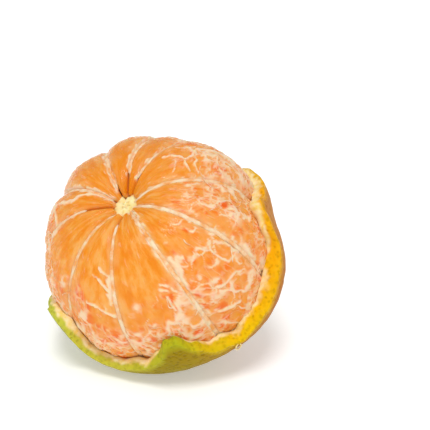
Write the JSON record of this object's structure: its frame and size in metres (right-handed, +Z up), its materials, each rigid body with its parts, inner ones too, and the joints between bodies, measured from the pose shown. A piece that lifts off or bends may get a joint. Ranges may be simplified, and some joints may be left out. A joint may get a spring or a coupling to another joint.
{
  "type": "half-peeled mandarin",
  "caption": "Half-peeled mandarin: segments round a column of pith stand out of the torn cup of peel left on the lower half. It leans back on a small flat spot.",
  "frame": {"origin": "centre of the flat spot under the peel, on the surface that the fruit rests on", "axes": "+Z up; the peeled end leans 41 degrees from +Z, towards -Y and a little towards -X"},
  "size_m": [0.0687, 0.0682, 0.0625],
  "materials": {
    "flesh": "moist orange flesh under a thin skin, with a net of pale pith",
    "pith": "dry, soft and fibrous, cream white",
    "peel": "waxy, finely pitted rind, orange-yellow turning green, cream white inside"
  },
  "bodies": {
    "root": {"segment_01": "flesh", "segment_02": "flesh", "segment_03": "flesh", "segment_04": "flesh", "segment_05": "flesh", "segment_06": "flesh", "segment_07": "flesh", "segment_08": "flesh", "segment_09": "flesh", "segment_10": "flesh", "pith_core": "pith", "peel": "peel"}
  },
  "joints": []
}
